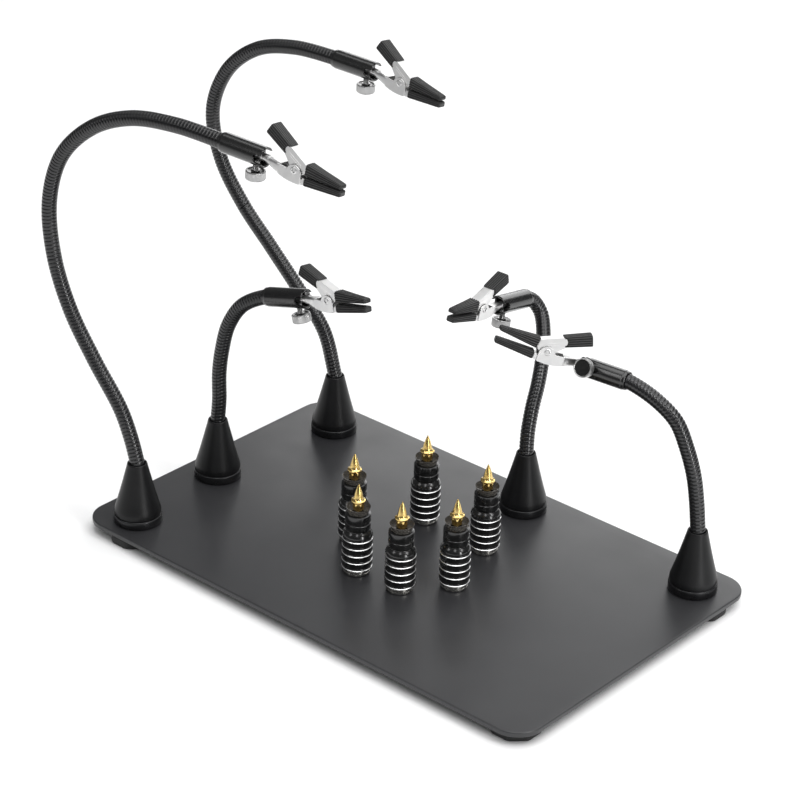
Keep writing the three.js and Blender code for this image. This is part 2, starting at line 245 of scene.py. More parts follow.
POWDER = mottled("powder_coat", greys(0.023, 0.028, COOL), (14, 4), (0.34, 0.4), (45, 5),
                 [(2600, 2, 0.03, 0.5), (420, 2, 0.02, 0.35)], Specular_IOR_Level=0.55)
RUBBER = mottled("pad_rubber", greys(0.008, 0.016), (160, 4), 0.75, bumps=[(1500, 3, 0.05, 0.5)])
FOOT_PAINT = mottled("foot_paint", greys(0.004, 0.008, COOL), (60, 3), (0.36, 0.42), (90, 2),
                     [(2200, 2, 0.004, 0.5)], Specular_IOR_Level=0.28)
MAGNET = mottled("black_nickel", greys(0.012, 0.022, COOL), (120, 3), (0.26, 0.34), (300, 2),
                 [(2400, 2, 0.003, 0.5)], metallic=0.5)
COIL = coil_finish()
GLOSS = mottled("gloss_black", greys(0.004, 0.008), (200, 3), (0.22, 0.28), (300, 2),
                [(2600, 2, 0.002, 0.4)], metallic=0.2, Coat_Weight=0.8, Coat_Roughness=0.2)
NICKEL = nickel("nickel", 0.7, 0.77, (0.3, 0.36))
SCREW_NICKEL = nickel("screw_nickel", 0.4, 0.5, (0.26, 0.34))
SPRING_STEEL = nickel("spring_steel", 0.4, 0.6, (0.15, 0.3))
# painted shade: the dark inside the rivets' holes and along the fold line of the upper half
PAINTED_SHADE = mottled("painted_shade", greys(0.004, 0.012), (500, 2), 0.6, bumps=[(1500, 2, 0.01, 0.5)],
               metallic=0.4)
VINYL = mottled("boot_vinyl", greys(0.028, 0.042), (300, 4), (0.36, 0.46), (500, 4),
                [(1800, 3, 0.008, 0.5)])
# painted shade in the ribs' grooves and inside the boots and grip
VINYL_SHADE = mottled("vinyl_painted_shade", greys(0.001, 0.003), (300, 3), 0.7,
                 bumps=[(1800, 3, 0.01, 0.5)])
ANODISED = mottled("anodised_black", greys(0.005, 0.01), (260, 3), (0.18, 0.26),
                   (500, 2, (1, 1, 6)), [(2600, 2, 0.002, 0.4)], metallic=0.2, Coat_Weight=0.5,
                   Coat_Roughness=0.14)
BRIGHT = mottled("turned_ring", greys(0.86, 0.95), (600, 3), (0.28, 0.4), (1200, 2), metallic=1.0)
DARK_NICKEL = mottled("dark_nickel", ((0.38, 0.37, 0.35), (0.52, 0.51, 0.48)), (260, 3),
                      (0.2, 0.28), (500, 2), [(2400, 2, 0.001, 0.5)], metallic=1.0)
CUP = mottled("smoky_cup", ((0.12, 0.112, 0.1), (0.2, 0.185, 0.165)), (300, 3), (0.1, 0.26),
              (900, 3), Transmission_Weight=0.6, IOR=1.45)
BRASS = mottled("brass", ((0.72, 0.50, 0.16), (0.88, 0.66, 0.27)), (500, 4), (0.14, 0.22),
                (900, 2), [(2600, 2, 0.002, 0.4)], metallic=1.0)

# ---------------------------------------------------------------- shapes

# A shape is its points, its faces and each face's number among the piece's materials.


def combined(*shapes):
    """Several shapes as one."""
    points, faces, numbers = [], [], []
    for shape in shapes:
        start = len(points)
        points += [tuple(p) for p in shape[0]]
        faces += [tuple(i + start for i in face) for face in shape[1]]
        numbers += shape[2]
    return points, faces, numbers


def moved(shape, matrix):
    return [tuple(matrix @ Vector(p)) for p in shape[0]], shape[1], shape[2]


def along_y(shape, sign=1):
    """A shape turned about Z, laid along Y."""
    return moved(shape, Matrix.Rotation(-sign * math.pi / 2, 4, "X"))


def along_x(shape):
    """A shape turned about Z, laid along X."""
    return moved(shape, Matrix.Rotation(math.pi / 2, 4, "Y"))


def lathe(profile, sides, reach=None):
    """Turned about Z. Profile rows are (radius, height) or (radius, height, material of the face
    that follows). `reach` gives the radius from the turned one, the height and the angle."""
    points, rings = [], []
    for radius, height, *_ in profile:
        if radius == 0:
            rings.append([len(points)] * sides)
            points.append((0.0, 0.0, height))
            continue
        rings.append(list(range(len(points), len(points) + sides)))
        for i in range(sides):
            angle = 2 * math.pi * i / sides
            r = reach(radius, height, angle) if reach else radius
            points.append((r * math.cos(angle), r * math.sin(angle), height))
    faces, numbers = [], []
    for (low, high), row in zip(zip(rings, rings[1:]), profile):
        for i in range(sides):
            j = (i + 1) % sides
            face = list(dict.fromkeys([low[i], low[j], high[j], high[i]]))
            if len(face) > 2:
                faces.append(tuple(face))
                numbers.append(row[2] if len(row) > 2 else 0)
    return points, faces, numbers


def prism(outline, low, high):
    """An outline of (x, z) pairs, extruded from `low` to `high` along Y."""
    n = len(outline)
    points = [(x, low, z) for x, z in outline] + [(x, high, z) for x, z in outline]
    faces = [tuple(range(n)), tuple(range(2 * n - 1, n - 1, -1))]
    faces += [(i, i + n, (i + 1) % n + n, (i + 1) % n) for i in range(n)]
    return points, faces, [0] * len(faces)


def narrowed(shape, from_x, from_scale, to_x, to_scale):
    """The shape with its Y scaled evenly from one x to another."""
    def at(x):
        share = min(1.0, max(0.0, (x - from_x) / (to_x - from_x)))
        return from_scale + (to_scale - from_scale) * share
    return [(x, y * at(x), z) for x, y, z in shape[0]], shape[1], shape[2]


def arc(center, radius, start, end, steps):
    """Points of an arc between two angles in degrees."""
    out = []
    for i in range(steps + 1):
        a = math.radians(start + (end - start) * i / steps)
        out.append((center[0] + radius * math.cos(a), center[1] + radius * math.sin(a)))
    return out


def carried_frames(path):
    """Tangents and two normals carried along a path without twisting."""
    tangent = np.gradient(path, axis=0)
    tangent /= np.linalg.norm(tangent, axis=1)[:, None]
    first = np.cross(tangent[0], (0.0, 1.0, 0.0))
    if np.linalg.norm(first) < 0.2:
        first = np.cross(tangent[0], (1.0, 0.0, 0.0))
    normals = [first / np.linalg.norm(first)]
    for t in tangent[1:]:
        n = normals[-1] - t * (normals[-1] @ t)
        normals.append(n / np.linalg.norm(n))
    normals = np.array(normals)
    return tangent, normals, np.cross(tangent, normals)


def loft(rings, numbers=None):
    """Quads between rings of equally many points, with both ends closed."""
    n = len(rings[0])
    points = [p for ring in rings for p in ring]
    faces = [tuple(range(n))[::-1]]
    for k in range(len(rings) - 1):
        for i in range(n):
            j = (i + 1) % n
            faces.append((k * n + i, k * n + j, (k + 1) * n + j, (k + 1) * n + i))
    last = (len(rings) - 1) * n
    faces.append(tuple(range(last, last + n)))
    return points, faces, numbers or [0] * len(faces)


def wire(path, radius, sides):
    """A round wire along a path of points, with closed ends."""
    _, u, v = carried_frames(path)
    rings = []
    for p, a, b in zip(path, u, v):
        turns = [2 * math.pi * i / sides for i in range(sides)]
        rings.append([tuple(p + radius * (math.cos(t) * a + math.sin(t) * b)) for t in turns])
    return loft(rings)


def boxy(half_width, half_height, center, power, count):
    """A ring of (across, up) pairs, squarer the smaller its power."""
    out = []
    for i in range(count):
        a = 2 * math.pi * i / count
        c, s = math.cos(a), math.sin(a)
        out.append((half_width * math.copysign(abs(c) ** power, c),
                    center + half_height * math.copysign(abs(s) ** power, s)))
    return out


def mesh_of(name, shape, weld=0.0, crest=None):
    """A mesh of a shape, its normals outwards, with points nearer than `weld` joined. `crest` is
    a value for each point, kept on the mesh for its material."""
    mesh = bpy.data.meshes.new(name)
    mesh.from_pydata([tuple(p) for p in shape[0]], [], [list(f) for f in shape[1]])
    mesh.polygons.foreach_set("material_index", shape[2])
    if crest is not None:
        values = mesh.attributes.new("crest", "FLOAT", "POINT").data
        values.foreach_set("value", crest.astype(np.float32))
    work = bmesh.new()
    work.from_mesh(mesh)
    if weld:
        bmesh.ops.remove_doubles(work, verts=work.verts, dist=weld)
    bmesh.ops.recalc_face_normals(work, faces=work.faces)
    work.to_mesh(mesh)
    work.free()
    return mesh


def carved(shape, *tools):
    """The shape with each tool cut away."""
    objects = [bpy.data.objects.new("carving", mesh_of("carving", s)) for s in (shape, *tools)]
    for o in objects:
        bpy.context.scene.collection.objects.link(o)
    for tool in objects[1:]:
        cut = objects[0].modifiers.new("cut", "BOOLEAN")
        cut.operation, cut.object, cut.solver = "DIFFERENCE", tool, "EXACT"
    bpy.context.view_layer.update()
    result = objects[0].evaluated_get(bpy.context.evaluated_depsgraph_get()).to_mesh()
    points = [tuple(v.co) for v in result.vertices]
    faces = [tuple(p.vertices) for p in result.polygons]
    for o in objects:
        mesh = o.data
        bpy.data.objects.remove(o)
        bpy.data.meshes.remove(mesh)
    return points, faces, [0] * len(faces)


def put(name, shape, place, body, nodes, slot, materials, bevel=0.0, sharp=35.0, weld=0.0,
        crest=None):
    """One visible piece: the shape at its place, on its body, standing for its CAD nodes. Its
    edges are bevelled, or else sharp past an angle. Without a body, it is left on none."""
    mesh = mesh_of(name, shape, weld, crest)
    mesh.transform(Matrix.Scale(MM, 4) @ place)
    piece = bpy.data.objects.new(name, mesh)
    bpy.context.scene.collection.objects.link(piece)
    for material in materials:
        mesh.materials.append(material)
    mesh.shade_smooth()
    if bevel:
        soft = piece.modifiers.new("soft_edges", "BEVEL")
        soft.width, soft.segments, soft.angle_limit = bevel * MM, 2, math.radians(30)
        soft.use_clamp_overlap = True
        even = piece.modifiers.new("even_shading", "WEIGHTED_NORMAL")
        even.keep_sharp = False
    elif sharp:
        mesh.set_sharp_from_angle(angle=math.radians(sharp))
    if body:
        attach(piece, body)
    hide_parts(*nodes)
    return piece


# ---------------------------------------------------------------- plate and pads


def box_of(node):
    """The low and high corners of a CAD node, mm."""
    return [Vector(corner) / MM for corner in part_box(node)]


def rounded_outline(half_x, half_y, radius, steps):
    """A rectangle with round corners, as (x, y) pairs."""
    out = []
    for cx, cy, start in ((1, 1, 0), (-1, 1, 90), (-1, -1, 180), (1, -1, 270)):
        center = (cx * (half_x - radius), cy * (half_y - radius))
        out += arc(center, radius, start, start + 90, steps)
    return out


def build_plate():
    """The steel plate, its rim rolled top and bottom."""
    low, high = box_of("base_plate")
    edge, corner = PLATE["edge"], PLATE["corner"]
    rings, steps = [], 6
    for side in (-1, 1):
        for i in range(steps + 1):
            a = math.radians(90 * (i if side < 0 else steps - i) / steps)
            inset = edge * (1 - math.sin(a))
            lift = edge * (1 - math.cos(a))
            z = low.z + lift if side < 0 else high.z - lift
            ring = rounded_outline(high.x - inset, high.y - inset, corner - inset, 24)
            rings.append([(x, y, z) for x, y in ring])
    put("plate", loft(rings), Matrix.Identity(4), "base", ["base_plate"], "plate_powder_coat",
        [POWDER], sharp=60)


def build_pad(node):
    """An eight-sided pad, its corners cut and its edges eased."""
    low, high = box_of(node)
    center = (low + high) / 2
    apothem, chamfer, easing = PAD["across"] / 2, PAD["chamfer"], PAD["easing"]
    top, half_side = -PLATE["thickness"], 22.5
    rings = []
    for inset, z in ((chamfer + easing, low.z), (chamfer * 0.4, low.z + easing),
                     (0.1, low.z + chamfer), (0, low.z + chamfer + easing), (0, top - easing),
                     (easing, top)):
        corner = (apothem - inset) / math.cos(math.radians(half_side)) - PAD["corner_cut"]
        ring = []
        for k in range(8):
            for turn in (-9, -3, 3, 9):
                angle = math.radians(half_side * (1 + 2 * k) + turn)
                flat = (apothem - inset) / math.cos(math.radians(half_side - abs(turn)))
                reach = min(corner, flat)
                x, y = center.x + reach * math.cos(angle), center.y + reach * math.sin(angle)
                ring.append((x, y, z))
        rings.append(ring)
    put(node.replace("_pad", "_rubber_pad"), loft(rings), Matrix.Identity(4), "base", [node],
        "pad_rubber", [RUBBER], sharp=40)


# ---------------------------------------------------------------- goosenecks


def route_points(arm):
    """The gooseneck's points from the foot's mouth to the sleeve, from the foot's centre."""
    points = [(0.0, 0.0, FOOT_HEIGHT)]
    for p in arm["route"]:
        if "along" in arm:
            a = math.radians(arm["along"])
            points.append((p[0] * math.cos(a), p[0] * math.sin(a), float(p[1])))
        else:
            points.append(tuple(float(c) for c in p))
    return [np.array(p) for p in points]


def head_matrix(arm):
    """The sleeve's place: its rear end at the route's end, its X ahead."""
    end = Vector(route_points(arm)[-1]) + Vector((*arm["foot"], 0.0))
    turn = Matrix.Rotation(math.radians(arm["azimuth"]), 4, "Z")
    return Matrix.Translation(end) @ turn @ Matrix.Rotation(-math.radians(arm["pitch"]), 4, "Y")


def clip_turn(arm):
    """The clip's turn on the tail's ball, from the sleeve's own direction."""
    angles = [math.radians(arm[name]) for name in ("roll", "droop", "swing")]
    return Euler(angles, "XYZ").to_matrix().to_4x4()


def smooth_curve(points):
    """A centripetal Catmull-Rom curve through the points, as the frame's gooseneck runs."""
    points = [2 * points[0] - points[1], *points, 2 * points[-1] - points[-2]]
    out = []
    for p0, p1, p2, p3 in zip(points, points[1:], points[2:], points[3:]):
        spans = ((p0, p1), (p1, p2), (p2, p3))
        d0, d1, d2 = (math.sqrt(np.linalg.norm(b - a)) for a, b in spans)
        t1 = ((p1 - p0) / d0 - (p2 - p0) / (d0 + d1) + (p2 - p1) / d1) * d1
        t2 = ((p2 - p1) / d1 - (p3 - p1) / (d1 + d2) + (p3 - p2) / d2) * d1
        for k in range(ROUTE_STEPS):
            t = k / ROUTE_STEPS
            out.append(p1 + t1 * t + (-3 * p1 + 3 * p2 - 2 * t1 - t2) * t**2
                       + (2 * p1 - 2 * p2 + t1 + t2) * t**3)
    out.append(points[-2])
    return np.array(out)


class Neck:
    """A gooseneck's centre line, by its length from the foot's mouth."""

    def __init__(self, arm):
        points = route_points(arm)
        ahead = head_matrix(arm).to_3x3() @ Vector((1, 0, 0))
        points.append(points[-1] + np.array(ahead) * NECK["in_sleeve"])
        line = smooth_curve(points) + np.array((*arm["foot"], 0.0))
        depths = np.linspace(NECK["in_foot"], 0.3, 8)
        self.line = np.vstack([line[0] - np.array((0, 0, 1.0)) * depths[:, None], line])
        steps = np.linalg.norm(np.diff(self.line, axis=0), axis=1)
        self.at = np.concatenate([[0], np.cumsum(steps)]) - NECK["in_foot"]
        self.length = self.at[-1]
        _, self.u, self.v = carried_frames(self.line)

    def read(self, values, s):
        """What the line's points hold, at lengths `s`."""
        return np.stack([np.interp(s, self.at, values[:, i]) for i in range(3)], -1)

    def coil(self, first_turn, last_turn):
        """The coil between two whole turns, its rows running along the helix, with each point's
        height on the wire."""
        rows, columns, pitch = NECK["rows_per_turn"], NECK["columns"], NECK["pitch"]
        k = np.arange(first_turn * rows, last_turn * rows + 1)
        j = np.arange(columns + 1)
        s = k[:, None] * pitch / rows + pitch * j[None, :] / columns
        across = 2 * (k % rows) / rows - 1
        crest = np.sqrt(np.clip(1 - np.abs(across) ** 5, 0, 1))[:, None] * np.ones_like(s)
        radius = NECK["radius"] - NECK["groove"] * (1 - crest)
        angle = 2 * math.pi * j / columns
        round_it = (np.cos(angle)[None, :, None] * self.read(self.u, s)
                    + np.sin(angle)[None, :, None] * self.read(self.v, s))
        points = self.read(self.line, s) + radius[..., None] * round_it
        n = columns + 1
        faces = [(a * n + b, a * n + b + 1, (a + 1) * n + b + 1, (a + 1) * n + b)
                 for a in range(len(k) - 1) for b in range(columns)]
        return (points.reshape(-1, 3), faces, [0] * len(faces)), crest.reshape(-1)


def build_coil(name, neck, turns, span, node):
    """A stretch of gooseneck, put on no body. The ends of `span` are found on its line but not
    used.
    """
    shape, crest = neck.coil(*turns)
    coil = put(name, shape, Matrix.Identity(4), None, [node], "gooseneck_black", [COIL],
               sharp=None, weld=0.002, crest=crest)
    start, end = (neck.read(neck.line, s) * MM for s in span)
    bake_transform(coil)


def build_neck(name, arm):
    """The gooseneck: one coil, or two that meet before the bend at the middle."""
    neck = Neck(arm)
    first, last = -1, int((neck.length - NECK["end_gap"]) // NECK["pitch"])
    if name.endswith("_long"):
        middle, reach = neck.length / 2, BEND["long"] / 2
        split = int((middle - reach - BEND["lead"]) // NECK["pitch"])
        build_coil(f"{name}_lower_coil", neck, (first, split),
                   (0.0, BEND["long"]),
                   f"{name}_lower_gooseneck")
        build_coil(f"{name}_upper_coil", neck, (split, last),
                   (middle - reach, middle + reach), f"{name}_upper_gooseneck")
    else:
        build_coil(f"{name}_coil", neck, (first, last),
                   (0.0, BEND["short"]), f"{name}_gooseneck")


# ---------------------------------------------------------------- foot, sleeve and thumbscrew

MAGNET_PART = 1
MAGNET_PROFILE = [(0, 0.3), (12.1, 0.3), (12.55, 0.45), (12.75, 0.8), (12.75, 4.2), (12.6, 4.6),
                  (12.2, 4.75)]
CONE_PROFILE = [
    (12.0, 4.8), (12.05, 5.1), (12.3, 5.3), (12.32, 7.2), (12.1, 8.3), (11.62, 9.9), (11.0, 12.0),
    (10.06, 15.3), (8.9, 19.6), (7.75, 24.0), (6.6, 28.6), (5.75, 32.0), (5.35, 33.7),
    (5.28, 34.1), (5.1, 34.4), (4.85, 34.5), (4.6, 34.42), (4.4, 34.1), (4.3, 33.0),
    (4.25, 31.0), (0, 30.6),
]


def build_foot(name, arm):
    """The cone foot, with its magnet ring."""
    profile = [(*point, MAGNET_PART) for point in MAGNET_PROFILE] + CONE_PROFILE
    put(f"{name}_foot_shell", lathe(profile, 96), Matrix.Translation((*arm["foot"], 0.0)),
        f"{name}_foot", [f"{name}_cone_foot"], "foot_satin_black", [FOOT_PAINT, MAGNET], sharp=50)


def sleeve_shape():
    """The sleeve along X: a lipped tube, its front bored, slotted and drilled for the screw."""
    r, length = SLEEVE["radius"], SLEEVE["length"]
    bore_floor = length - SLEEVE["bore_depth"]
    profile = [
        (0, 6.0), (4.15, 6.0), (4.15, 0.3), (4.35, 0.0), (4.75, 0.0), (4.9, 0.15), (4.9, 1.5),
        (5.0, 1.7), (r, 1.85), (r, length - 0.35), (r - 0.3, length), (4.45, length),
        (4.2, length - 0.25), (4.2, bore_floor), (0, bore_floor),
    ]
    half = SLEEVE["slot"] / 2
    bottom = length - SLEEVE["slot_depth"] + half
    slot = prism([(length + 4, -half), (length + 4, half),
                  *arc((bottom, 0), half, 90, 270, 16)], -9, 9)
    drill = [(0, -8), (SLEEVE["screw_hole"], -8), (SLEEVE["screw_hole"], 0), (0, 0)]
    hole = moved(lathe(drill, 32), Matrix.Translation((SLEEVE["screw"], 0, 0)))
    return carved(along_x(lathe(profile, 72)), slot, hole)


RIM_PART, FACE_PART = 0, 1


def screw_shape():
    """The thumbscrew under its axis: a knurled head with a black face, a neck and a thread."""
    teeth, depth = 44, 0.16
    rim, low, high = 4.6, -12.3, -8.5

    def knurl(radius, height, angle):
        if radius < rim or not low < height < high:
            return radius
        return radius - depth * (1 - abs(math.cos(teeth * angle / 2)))

    head = [
        (0, -12.25, FACE_PART), (4.1, -12.25, FACE_PART), (4.25, -12.45, RIM_PART), (4.45, -12.6),
        (4.75, -12.55), (4.98, -12.25), (5.0, -12.1), (5.0, -8.7), (4.98, -8.55), (4.75, -8.25),
        (4.3, -8.2), (4.15, -8.3, FACE_PART), (2.3, -8.3, FACE_PART), (2.2, -7.9, RIM_PART),
        (1.6, -7.8),
    ]
    thread = []
    for turn in range(10):
        z = -7.8 + 0.5 * turn
        thread += [(1.5, z), (1.3, z + 0.25)]
    return lathe([*head, *thread, (1.4, -2.6), (0.9, -2.4), (0, -2.4)], teeth * 4, knurl)


# ---------------------------------------------------------------- clip

# the second part of a clip piece is painted shade
METAL_PART, SHADE_PART = 0, 1
# a ribbed piece's grooves take painted shade
CREST_PART, GROOVE_SHADE_PART = 0, 1
RIVET = (1.3, 1.2)
AT_RIVET = Matrix.Translation((RIVET[0], 0, RIVET[1]))
EDGE = 0.22  # rounding of the folded sheet
CHEEK = {"center": (1.2, -0.4), "radius": 4.4, "outer": 3.7, "inner": 3.0}
CRIMP = {"channel_end": (-7.6, -0.85), "channel_half": (3.65, 2.4), "barrel_half": (2.35, 2.05),
         "sides": 48}
LUG = {"radius": 4.2, "outer": 2.7, "inner": 2.0}
PRONG = {"heel": 5.7, "root": 7.2, "tip": 26.8, "root_half": 2.7, "tip_half": 1.8}
FOLD = (-11.4, 6.6)  # the way the top edge of the upper half's sides runs
# a corner, the distance below it, start and end along the fold, height, half width, material
FOLD_LINES = [
    # the first line's dark is painted shade in the fold's crease
    ((7.2, 5.6), 0.95, 0.6, 12.2, 0.04, 0.15, SHADE_PART),
    ((6.8, 5.4), 2.2, 1.4, 10.6, 0.09, 0.16, METAL_PART),
    ((6.8, 5.4), 3.25, 1.9, 9.2, 0.09, 0.16, METAL_PART),
]
BOOT = {"root": 7.6, "tip": 28.5, "root_half": 3.6, "tip_half": 2.5, "wall": 0.6, "gap": 0.3,
        "upper": (6.4, 2.6), "lower": (4.9, 3.5), "squareness": 0.42, "ribs": 18}
GRIP = {"front": (-3.7, 9.15), "rear": (-16.75, 16.6), "half_width": 3.7, "half_height": 3.1,
        "front_share": 0.91, "squareness": 0.3, "ribs": 20, "hollow": 2.4}
RIB_DEPTH = 0.3
RIB = (1.0, 1.0, 0.25, 0.0, 0.0, 0.25)  # cut at each point across a groove and a crest
# the rest of each rib is painted shade, so these faces show as pale lines, painted highlights
RIB_CREST = (3, 4)  # faces of a rib that are its crest
SPRING = {"radius": 2.1, "turns": 3, "half_width": 1.45, "wire": 0.4, "from": 120, "past": 70,
          "handle_end": (-6.2, -0.8, 9.2), "tail_end": (-7.2, 1.2, -1.6)}


def prong(low, high):
    """The part of a half that a boot covers, between two heights at its heel and at its tip."""
    outline = [(PRONG["heel"], low[0]), (PRONG["tip"], low[1]), (PRONG["tip"], high[1]),
               (PRONG["heel"], high[0])]
    bar = prism(outline, -1, 1)
    return narrowed(bar, PRONG["root"], PRONG["root_half"], PRONG["tip"], PRONG["tip_half"])


def bead(start, end, y, height, half_width, number):
    """A fine raised line on a side face at y, from one (x, z) to another."""
    a, b = Vector((start[0], 0, start[1])), Vector((end[0], 0, end[1]))
    along = (b - a).normalized()
    up = Vector((-along.z, 0, along.x)) * half_width
    out = Vector((0, math.copysign(height, y), 0))
    base = Vector((0, y - math.copysign(0.1, y), 0))
    ring = [a - up, b - up, b + up, a + up]
    inner = [a - up * 0.4 + along * half_width, b - up * 0.4 - along * half_width,
             b + up * 0.4 - along * half_width, a + up * 0.4 + along * half_width]
    points = [tuple(p + base) for p in ring] + [tuple(p + base + out * 2) for p in inner]
    faces = [(3, 2, 1, 0), (4, 5, 6, 7)]
    faces += [(i, (i + 1) % 4, (i + 1) % 4 + 4, i + 4) for i in range(4)]
    return points, faces, [number] * len(faces)


def rivet_shape():
    """A hollow rivet: a rolled rim round a hole on either side, its wall and floor painted dark as
    shade, and the shaft between.
    """
    rim = [
        (0.95, 3.5, SHADE_PART), (0.95, 3.95, METAL_PART), (1.1, 4.1), (1.35, 4.12), (1.65, 4.0),
        (1.8, 3.85), (1.8, 3.6),
    ]
    # a disc in each hole, painted dark as shade
    floor = [(0, 3.55, SHADE_PART), (1.0, 3.55, SHADE_PART)]
    side = combined(lathe(rim, 32), lathe(floor, 32))
    shaft = lathe([(0, -3.5), (1.3, -3.5), (1.3, 3.5), (0, 3.5)], 24)
    return moved(combined(along_y(side), along_y(side, -1), along_y(shaft)), AT_RIVET)


def tail_direction(arm):
    """The way the tail's barrel points from its ball, in the clip's frame."""
    turn = clip_turn(arm).to_3x3()
    screw_turn = math.radians(arm.get("screw_turn", 0))
    screw_axis = Matrix.Rotation(screw_turn, 3, "X") @ Vector((0, 0, 1))
    ahead = turn @ Vector((1, 0, 0))
    ahead -= screw_axis * ahead.dot(screw_axis)
    return turn.inverted() @ ahead.normalized()


def tail_turn(tail):
    return Vector((1, 0, 0)).rotation_difference(tail).to_matrix()


def lower_shape(tail):
    """The lower half: cheeks, prong and crimp. `tail` is its barrel's direction."""
    outline = [(-8, -3.3), (-6.6, -3.7), (-5, -4.15), (-3, -4.55), (-1, -4.8), (1, -4.9),
               (3, -4.9), (5.0, -4.8), (5.5, -4.4),
               *arc(CHEEK["center"], CHEEK["radius"], 0, 160, 22), (-8, 1.6)]
    cheeks = prism(outline, -CHEEK["outer"], CHEEK["outer"])
    channel = prism([(-9.5, -2.3), (-4, -3.3), (1, -3.9), (8, -3.9), (8, 9), (-9.5, 9)],
                    -CHEEK["inner"], CHEEK["inner"])
    root = prism([(4.3, -4.8), (7.4, -4.4), (7.4, -1.5), (5.2, -1.9), (4.3, -3)], -3.1, 3.1)
    return combined(carved(cheeks, channel), prong((-4.3, -2.7), (-1.3, -1.3)), root,
                    crimp_shape(tail))


def crimp_shape(tail):
    """The bar pressed together from the channel's rear down to the tail's barrel."""
    turn, sides = tail_turn(tail), CRIMP["sides"]
    start = Vector((-CLIP_FROM_BALL, 0, 0)) + tail * TAIL["crimp_from"]
    end = Vector((CRIMP["channel_end"][0], 0, CRIMP["channel_end"][1]))
    barrel = [turn @ Vector((0, y, z)) for y, z in boxy(*CRIMP["barrel_half"], 0, 0.75, sides)]
    channel = [Vector((0, y, z)) for y, z in boxy(*CRIMP["channel_half"], 0, 0.3, sides)]
    rings = []
    for share, blend in ((0, 0), (0.14, 0), (0.3, 0.12), (0.5, 0.42), (0.7, 0.78), (0.86, 0.96),
                         (1, 1)):
        center = start.lerp(end, share)
        rings.append([tuple(center + a * (1 - blend) + b * blend)
                      for a, b in zip(barrel, channel)])
    return loft(rings)


def tail_shape(tail):
    """The ball that the fork holds, with its neck and barrel."""
    r, length = TAIL["radius"], TAIL["length"]
    bar = [(0, -r), (0.9, -1.8), (1.6, -1.2), (1.95, -0.4), (2.0, 0.2), (1.8, 0.9), (1.5, 1.4),
           (1.7, 1.6), (r, 1.9), (r, 4.4), (1.85, 4.55), (1.85, 4.85), (r, 5.0), (r, length - 0.3),
           (1.8, length), (0, length)]
    place = Matrix.Translation((-CLIP_FROM_BALL, 0, 0)) @ tail_turn(tail).to_4x4()
    return moved(along_x(lathe(bar, 32)), place)


def upper_shape():
    """The upper half: lugs, web, prong and the lever inside the grip."""
    outline = [(7.4, 1.35), (7.4, 5.6), (-2.0, 11.0), (-4.4, 12.2), (-10.5, 15.4), (-12.0, 12.0),
               (-7.2, 8.3), (-4.6, 5.4), (-3.4, 3.8),
               *arc(RIVET, LUG["radius"], 160, 340, 24)]
    walls = prism(outline, -LUG["outer"], LUG["outer"])
    channel = prism([(8.6, -5), (8.6, 4.3), (-3.4, 10.2), (-5.6, 9.0), (-5.2, -5)],
                    -LUG["inner"], LUG["inner"])
    return combined(carved(walls, channel), prong((1.3, 1.3), (5.8, 2.0)))


def fold_lines():
    """The lines pressed along the upper half's sides: one at the fold painted dark as shade in the
    crease, two pale below.
    """
    along = Vector(FOLD).normalized()
    down = Vector((-along.y, along.x))
    lines = []
    for y in (-LUG["outer"], LUG["outer"]):
        for corner, depth, start, end, *facts in FOLD_LINES:
            base = Vector(corner) + down * depth
            lines.append(bead(base + along * start, base + along * end, y, *facts))
    return combined(*lines)


def ribbed(outline, ribs):
    """A closed (across, up) outline, evenly by length, with the way in and the cut at each of its
    points that give it grooves."""
    points = np.array(outline)
    closed = np.vstack([points, points[:1]])
    steps = np.linalg.norm(np.diff(closed, axis=0), axis=1)
    at = np.concatenate([[0], np.cumsum(steps)])
    u = np.linspace(0, at[-1], ribs * len(RIB), endpoint=False)
    ring = np.stack([np.interp(u, at, closed[:, i]) for i in (0, 1)], -1)
    tangent = np.roll(ring, -1, 0) - np.roll(ring, 1, 0)
    tangent /= np.linalg.norm(tangent, axis=1)[:, None]
    inward = np.stack([-tangent[:, 1], tangent[:, 0]], -1)
    return ring, inward, RIB_DEPTH * np.tile(RIB, ribs)


def ribbed_loft(rings, ribs, inside):
    """A loft of ribbed rings, with painted shade in its grooves and on the first `inside` rings,
    which leaves thin pale lines along the crests as painted highlights.
    """
    numbers = [CREST_PART]
    for k in range(len(rings) - 1):
        for column in list(range(len(RIB))) * ribs:
            crest = k >= inside and column in RIB_CREST
            numbers.append(CREST_PART if crest else GROOVE_SHADE_PART)
    return loft(rings, numbers + [CREST_PART])


def boot_shape(half):
    """A ribbed boot, open at its root, for the "upper" or the "lower" jaw."""
    root, tip, gap, wall = BOOT["root"], BOOT["tip"], BOOT["gap"], BOOT["wall"]
    root_high, tip_high = BOOT[half]
    side = 1 if half == "upper" else -1
    # each ring's x, inset and share of the rib's depth
    inside = [(root + 5.1, wall + 0.5, 0), (root + 5.0, wall + 0.1, 0),
              (root + 0.4, wall + 0.05, 0), (root, wall, 0)]
    outside = [(root, 0.25, 1), (root + 0.25, 0, 1), (root + 2.0, 0, 1)]
    outside += [(root + 2.0 + (tip - root - 3.2) * k / 8, 0, 1) for k in range(1, 9)]
    outside += [(tip - 0.7, 0.05, 0.6), (tip - 0.3, 0.25, 0.2), (tip - 0.06, 0.6, 0),
                (tip, 0.9, 0)]

    def ring_at(x, inset, rib_share):
        share = (x - root) / (tip - root)
        half_width = BOOT["root_half"] + (BOOT["tip_half"] - BOOT["root_half"]) * share
        high = root_high + (tip_high - root_high) * share
        line = boxy(half_width, (high - gap) / 2, (high + gap) / 2, BOOT["squareness"], 240)
        ring, inward, cut = ribbed(line, BOOT["ribs"])
        ring = ring + inward * (cut * rib_share + inset)[:, None]
        return [(x, y, side * z) for y, z in ring]

    rings = [ring_at(*station) for station in inside + outside]
    return ribbed_loft(rings, BOOT["ribs"], len(inside))


